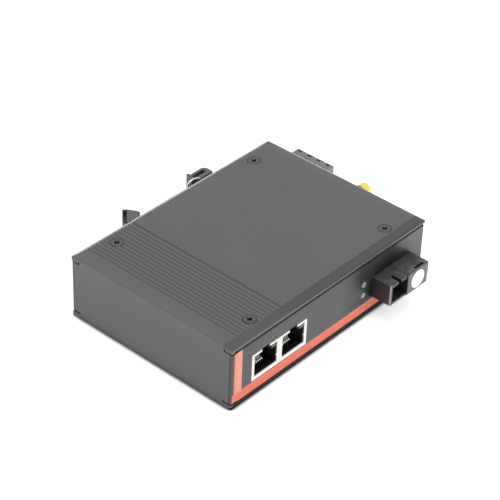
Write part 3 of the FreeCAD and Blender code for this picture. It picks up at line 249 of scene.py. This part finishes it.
def painted(name, base, part):
    """Fine satin powder paint on sheet metal."""
    t = Net(name)
    x, y, z = t.xyz()
    slow = t.noise(22.0, 4.0, 0.6)
    mid = t.noise(420.0, 3.0, 0.6)
    fine = t.noise(5200.0, 2.0, 0.6)
    v = t.math("MULTIPLY_ADD", mid, 0.3, t.math("MULTIPLY", slow, 0.7))
    c = t.mix(t.ramp(v, 0.3, 0.7), shade(base, 0.93), shade(base, 1.07))
    c = t.mix(t.ramp(fine, 0.35, 0.65, 0.0, 0.14), c, shade(base, 1.5))
    # dust in the grain and a few fine rub marks
    rub = t.noise(70.0, 6.0, 0.75, co=t.scaled(1.0, 9.0, 9.0))
    c = t.mix(t.ramp(rub, 0.66, 0.80, 0.0, 0.10), c, shade(base, 2.4))
    if part == "cover":
        # painted shade: the smooth margin along the port side is darker than the ribbed field, and more so away from
        # the blank end
        top = t.ramp(z, 0.0284, 0.0288)
        margin = t.math("MULTIPLY", top, t.ramp(y, P(0, 4.5, 0).y, P(0, 4.9, 0).y, 1.0, 0.0))
        c = t.times(c, t.ramp(margin, 0.0, 1.0, 1.0, 0.66))
        far_end = t.math("MULTIPLY", margin, t.ramp(x, P(15, 0, 0).x, P(42, 0, 0).x))
        c = t.times(c, t.ramp(far_end, 0.0, 1.0, 1.0, 0.72))
        # painted shade: the blank end is a little darker than the wide faces, most towards its bottom
        end = t.math("MULTIPLY", t.ramp(x, P(0.3, 0, 0).x, P(0.5, 0, 0).x, 1.0, 0.0), t.band(z, 0.0008, 0.0282, 0.0003))
        low_end = t.ramp(z, 0.002, 0.026, 0.76, 0.88)
        c = t.times(c, t.math("ADD", 1.0, t.math("MULTIPLY", end, t.math("SUBTRACT", low_end, 1.0))))
        # painted highlight: the rounded bevels along the clip side and the terminal end catch a bright reflection
        back_rim_highlight = t.math("MULTIPLY", t.ramp(y, P(0, 83.95, 0).y, P(0, 84.10, 0).y), t.ramp(x, P(1.0, 0, 0).x, P(2.5, 0, 0).x))
        side_rim_highlight = t.math("MULTIPLY", t.ramp(x, P(116.15, 0, 0).x, P(116.30, 0, 0).x), t.ramp(y, P(0, 30, 0).y, P(0, 55, 0).y, 0.15, 1.0))
        rim = t.math("MULTIPLY", t.math("MAXIMUM", back_rim_highlight, side_rim_highlight), t.ramp(z, 0.0283, 0.0286))
        rim = t.math("MULTIPLY", rim, t.ramp(t.noise(260.0, 4.0, 0.7), 0.25, 0.6, 0.70, 1.0))
        c = t.mix(rim, c, lin((178, 177, 175)))
        # painted shade on the bottom plate's front edge, which faces down towards the floor
        shadow = t.math("MULTIPLY", t.ramp(z, 0.0012, 0.0016, 1.0, 0.0), t.ramp(y, P(0, 0.3, 0).y, P(0, 0.9, 0).y, 1.0, 0.0))
        dim = t.ramp(shadow, 0.0, 1.0, 1.0, 0.12)
        # the rounded front edge catches less light towards the terminal end
        nose = t.math("MULTIPLY", t.band(z, 0.0272, 0.0290, 0.0001), t.ramp(y, P(0, 0.45, 0).y, P(0, 0.70, 0).y, 1.0, 0.0))
        nose = t.math("MULTIPLY", nose, t.ramp(x, P(25, 0, 0).x, P(75, 0, 0).x))
        dim = t.math("MULTIPLY", dim, t.ramp(nose, 0.0, 1.0, 1.0, 0.70))
    else:
        face = t.ramp(y, P(0, 0.07, 0).y, P(0, 0.12, 0).y, 1.0, 0.0)
        up_bar = t.math("MULTIPLY", t.band(x, P(1.60, 0, 0).x, P(5.95, 0, 0).x), t.band(z, 0.0023, 0.0264, 0.00012))
        low_bar = t.math("MULTIPLY", t.band(z, 0.0023, 0.00675, 0.00012), t.ramp(x, P(0.55, 0, 0).x, P(0.65, 0, 0).x))
        both = t.math("MULTIPLY", t.math("MAXIMUM", up_bar, low_bar), face)
        low = t.mix(t.ramp(t.noise(300.0, 3.0), 0.3, 0.7), (0.665, 0.116, 0.058), (0.705, 0.130, 0.066))
        high = t.mix(t.ramp(t.noise(300.0, 3.0), 0.3, 0.7), (0.715, 0.258, 0.164), (0.755, 0.278, 0.180))
        # painted shade and highlight on the print: the upright bar is darker at its left edge and lighter to its right
        high = t.mix(t.ramp(x, P(1.6, 0, 0).x, P(3.6, 0, 0).x), (0.69, 0.195, 0.115), high)
        tint = t.mix(t.ramp(z, 0.0058, 0.0078), low, high)
        c = t.mix(both, c, tint)
        # the fold under the cover's edge lies in its shade
        fold = t.math("MULTIPLY", t.ramp(z, 0.0260, 0.0267), t.ramp(y, P(0, 1.5, 0).y, P(0, 2.0, 0).y, 1.0, 0.0))
        dim = t.ramp(fold, 0.0, 1.0, 1.0, 0.22)
        # painted shade: the cut edge around the two network sockets lies in a narrow gap and is darkened
        gap = t.math("MULTIPLY", t.ramp(y, P(0, 0.07, 0).y, P(0, 0.12, 0).y), t.ramp(y, P(0, 1.5, 0).y, P(0, 2.0, 0).y, 1.0, 0.0))
        gap = t.math("MULTIPLY", gap, t.math("MULTIPLY", t.band(x, P(11.0, 0, 0).x, P(45.2, 0, 0).x), t.band(z, 0.0060, 0.0210)))
        dim = t.math("MULTIPLY", dim, t.ramp(gap, 0.0, 1.0, 1.0, 0.12))
        # painted shade: the panel darkens around the fibre module, which stands out of it, from ambient occlusion near
        # the module and a darker patch reaching above it
        ao = t.n("ShaderNodeAmbientOcclusion", samples=12)
        ao.inputs["Distance"].default_value = 0.017
        near_module = t.math("MULTIPLY", t.ramp(x, P(62, 0, 0).x, P(76, 0, 0).x), t.ramp(z, 0.0066, 0.0086))
        wide = t.ramp(ao.outputs["AO"], 0.50, 0.97, 0.20, 1.0)
        wide = t.math("ADD", 1.0, t.math("MULTIPLY", near_module, t.math("SUBTRACT", wide, 1.0)))
        dim = t.math("MULTIPLY", dim, wide)
        module_shade_band = t.math("MULTIPLY", t.ramp(x, P(66, 0, 0).x, P(79, 0, 0).x, smooth=True), t.ramp(x, P(95, 0, 0).x, P(103, 0, 0).x, 1.0, 0.0, smooth=True))
        module_shade_band = t.math("MULTIPLY", module_shade_band, t.ramp(z, 0.0125, 0.0205, smooth=True))
        dim = t.math("MULTIPLY", dim, t.ramp(module_shade_band, 0.0, 1.0, 1.0, 0.50))
    c = t.times(c, dim)
    # light edges: part wear, part painted highlight where the edges catch light
    e = t.edge(0.00020)
    wear_and_edge_highlight = t.math("MULTIPLY", e, t.ramp(t.noise(900.0, 4.0, 0.7), 0.35, 0.7, 0.05, 0.40))
    c = t.mix(wear_and_edge_highlight, c, lin((150, 151, 154)))
    # painted shade in corners and seams
    c = t.times(c, t.occlusion(0.0025, 0.10))
    t.color(c)
    t.rough(t.ramp(v, 0.25, 0.75, 0.32, 0.44))
    t.link(t.math("MULTIPLY", dim, 0.5), t.b.inputs["Specular IOR Level"])
    t.bump(fine, 0.14, 0.00003)
    return t.m


def contact_glint_shade_mask(t):
    """Bright at the front bend, painted shade deeper inside the socket."""
    x, y, z = t.xyz()
    return t.ramp(y, P(0, 5.2, 0).y, P(0, 5.6, 0).y, 1.0, 0.03)


def screw_recess_shade_mask(t):
    """Painted shade inside the cross recess and along the rim of the head."""
    x, y, z = t.xyz()
    mid = P(59.85, 43.55, 0)
    dx = t.math("SUBTRACT", t.math("ABSOLUTE", t.math("SUBTRACT", x, mid.x)), 0.0410)
    dy = t.math("SUBTRACT", t.math("ABSOLUTE", t.math("SUBTRACT", y, mid.y)), 0.03525)
    rad = t.math("SQRT", t.math("ADD", t.math("MULTIPLY", dx, dx), t.math("MULTIPLY", dy, dy)))
    rim = t.ramp(rad, 0.00225, 0.00260, 1.0, 0.35)
    return t.math("MULTIPLY", rim, t.ramp(t.band(z, 0.0003, 0.0287, 0.00008), 0.0, 1.0, 1.0, 0.30))


def module_light_and_shade(t, c):
    """Painted light: a lighter roof that is shaded towards the panel, a lighter front face on the right block, and
    highlights along the outer left and right edges of the front.
    """
    x, y, z = t.xyz()
    roof = t.ramp(z, 0.01735, 0.01745)
    patch = t.ramp(t.noise(380.0, 3.0, 0.6), 0.40, 0.62)
    nearer = t.ramp(y, P(0, -8.5, 0).y, P(0, -3.0, 0).y, 1.0, 0.25)
    c = t.mix(roof, c, t.mix(t.math("MULTIPLY", patch, nearer), (0.042, 0.042, 0.044), (0.098, 0.098, 0.102)))
    # painted reflection on the right block's front face
    front = t.math("MULTIPLY", t.ramp(x, P(95.2, 0, 0).x, P(95.4, 0, 0).x), t.ramp(y, P(0, -9.7, 0).y, P(0, -9.6, 0).y, 1.0, 0.0))
    c = t.mix(front, c, t.mix(patch, (0.070, 0.070, 0.073), (0.098, 0.098, 0.102)))
    # painted highlights along the outer left and right edges of the front
    rim = t.math("MULTIPLY", t.ramp(x, P(84.45, 0, 0).x, P(84.65, 0, 0).x, 1.0, 0.0), t.ramp(y, P(0, -9.0, 0).y, P(0, -8.8, 0).y, 1.0, 0.0))
    c = t.mix(rim, c, lin((150, 150, 152)))
    rim = t.math("MULTIPLY", t.ramp(x, P(107.6, 0, 0).x, P(108.1, 0, 0).x), t.ramp(y, P(0, -9.0, 0).y, P(0, -8.8, 0).y, 1.0, 0.0))
    return t.mix(rim, c, lin((118, 118, 120)))


M = {}
M["cover_paint"] = painted("cover_paint", COVER, "cover")
M["chassis_paint"] = painted("chassis_paint", PANEL, "chassis")
M["black_screw"] = general("black_screw", (0.075, 0.075, 0.077), 0.34, metallic=0.2, spec=0.6, edge_col=lin((150, 150, 152)), edge_amt=0.30, edge_r=0.00010,
                           mask=screw_recess_shade_mask, occ=(0.0012, 0.05)).m
M["steel"] = general("steel", lin((178, 178, 180)), 0.3, metallic=1.0, edge_col=lin((225, 225, 226)), stretch=(1, 1, 6)).m
M["board_green"] = general("board_green", lin((22, 92, 52)), 0.35, edge_col=lin((170, 160, 110)), coat=0.4).m
M["jack_metal"] = general("jack_metal", (0.78, 0.77, 0.73), 0.32, metallic=0.35, var=0.06, edge_col=(0.92, 0.92, 0.90), edge_amt=0.5, edge_r=0.00012, stretch=(1, 5, 1)).m
M["black_plastic"] = general("black_plastic", (0.012, 0.012, 0.013), 0.40, spec=0.6, edge_col=lin((104, 104, 106)), edge_amt=0.30).m
M["module_black"] = general("module_black", (0.014, 0.014, 0.015), 0.40, spec=0.6, edge_col=lin((120, 120, 122)), edge_amt=0.40, tint=module_light_and_shade).m
M["socket_black"] = general("socket_black", (0.006, 0.006, 0.007), 0.55, spec=0.18, edge_col=lin((60, 60, 62)), edge_amt=0.20).m
# the contacts glow a little where the mask keeps them bright: a painted glint at the front bend
M["gold_contact"] = general("gold_contact", (0.95, 0.92, 0.84), 0.25, metallic=0.2, edge_col=(1.0, 0.98, 0.93), mask=contact_glint_shade_mask, emit=0.45).m
M["clear_window"] = general("clear_window", lin((70, 72, 70)), 0.18, edge_col=lin((150, 150, 150)), edge_amt=0.25, spec=0.6).m
M["lens_grey"] = general("lens_grey", lin((150, 152, 156)), 0.3, edge_col=lin((215, 215, 216)), trans=0.15, ior=1.46).m
M["ceramic"] = general("ceramic", lin((240, 238, 230)), 0.15, edge_col=lin((255, 255, 255))).m
M["seal_white"] = general("seal_white", (0.97, 0.97, 0.97), 0.5, var=0.02, edge_col=lin((220, 220, 220))).m
M["terminal_plastic"] = general("terminal_plastic", (0.165, 0.165, 0.169), 0.42, spec=0.5, edge_col=lin((175, 175, 178)), edge_amt=0.35, occ=(0.003, 0.18)).m
M["terminal_metal"] = general("terminal_metal", lin((190, 190, 186)), 0.3, metallic=1.0, edge_col=lin((230, 230, 228))).m
M["brass_yellow"] = general("brass_yellow", (0.90, 0.70, 0.14), 0.24, metallic=0.55, edge_col=lin((255, 240, 150)), edge_amt=0.6).m
M["chip_black"] = general("chip_black", lin((38, 38, 40)), 0.5, edge_col=lin((90, 90, 92))).m
M["can_metal"] = general("can_metal", lin((196, 196, 200)), 0.28, metallic=1.0, edge_col=lin((235, 235, 236))).m
M["ferrite"] = general("ferrite", lin((70, 70, 72)), 0.55, edge_col=lin((120, 120, 120))).m
M["winding"] = general("winding", lin((206, 176, 60)), 0.4, edge_col=lin((235, 215, 120))).m
M["clip_plastic"] = general("clip_plastic", (0.094, 0.094, 0.097), 0.44, spec=0.5, edge_col=lin((145, 145, 148)), edge_amt=0.35, occ=(0.003, 0.50)).m
M["spring_steel"] = general("spring_steel", lin((228, 228, 230)), 0.2, metallic=1.0, edge_col=lin((255, 255, 255))).m

slot_of = {s["node"]: s["material_slot"] for s in frame["record"]["subparts"]}
# the moulded inside of the two network sockets is duller than the fibre module
look_of = {"jack_housing_left": "socket_black", "jack_housing_right": "socket_black", "transceiver_housing": "module_black"}
for name, o in nodes.items():
    mat = M[look_of.get(name, slot_of[name])]
    if not o.data.materials:
        o.data.materials.append(mat)
    for i in range(len(o.data.materials)):
        o.data.materials[i] = mat

# ----------------------------------------------------------------------------
# Floor, light
# ----------------------------------------------------------------------------
bm = bmesh.new()
bmesh.ops.create_grid(bm, x_segments=8, y_segments=8, size=3.0)
fl = bpy.data.meshes.new("floor")
bm.to_mesh(fl)
bm.free()
floor = bpy.data.objects.new("floor", fl)
bpy.context.scene.collection.objects.link(floor)
fm = Net("floor_white")
fx, fy, fz = fm.xyz()
# contact shadow right beside the case, and a soft bluish one under the fibre module
fao = fm.n("ShaderNodeAmbientOcclusion", samples=16)
fao.inputs["Distance"].default_value = 0.0032
contact = fm.ramp(fao.outputs["AO"], 0.48, 0.84, 0.10, 1.0, smooth=True)
under = fm.math("MULTIPLY",
                fm.math("MULTIPLY", fm.ramp(fx, P(76, 0, 0).x, P(86, 0, 0).x, smooth=True), fm.ramp(fx, P(98, 0, 0).x, P(111, 0, 0).x, 1.0, 0.0, smooth=True)),
                fm.ramp(fy, P(0, -17, 0).y, P(0, -9, 0).y, smooth=True))
tone = fm.times(fm.mix(under, (1.0, 1.0, 1.0), (0.74, 0.755, 0.785)), contact)
paper = fm.mix(fm.ramp(fm.noise(3.0, 2.0), 0.3, 0.7), (0.49, 0.49, 0.49), (0.51, 0.51, 0.51))
fm.color(fm.times(paper, contact))
# a backlit white sheet, brighter in front of the port side's far end
glow = fm.ramp(fx, 0.02, 0.10, 0.74, 1.50, smooth=True)
fm.link(tone, fm.b.inputs["Emission Color"])
fm.link(glow, fm.b.inputs["Emission Strength"])
fm.b.inputs["Roughness"].default_value = 0.9
fm.b.inputs["Specular IOR Level"].default_value = 0.1
fl.materials.append(fm.m)

world = bpy.data.worlds.new("studio")
bpy.context.scene.world = world
world.use_nodes = True
bg = world.node_tree.nodes["Background"]
bg.inputs["Color"].default_value = (1.0, 1.0, 1.0, 1.0)
bg.inputs["Strength"].default_value = 0.95


def area(name, pos, target, size, power, color=(1, 1, 1)):
    d = bpy.data.lights.new(name, "AREA")
    d.shape = "RECTANGLE"
    d.size, d.size_y = size
    d.energy = power
    d.color = color
    o = bpy.data.objects.new(name, d)
    bpy.context.scene.collection.objects.link(o)
    o.location = pos
    o.rotation_mode = "QUATERNION"
    o.rotation_quaternion = (Vector(target) - Vector(pos)).to_track_quat("-Z", "Y")
    return o


area("key", (0.25, -0.55, 0.75), (0, 0, 0), (0.6, 0.6), 2.0)
area("fill", (-0.8, -0.1, 0.5), (0, 0, 0), (0.6, 0.6), 1.0)

vs = bpy.context.scene.view_settings
vs.view_transform = "Standard"
vs.look = "None"
vs.exposure = 0.0
vs.gamma = 1.0
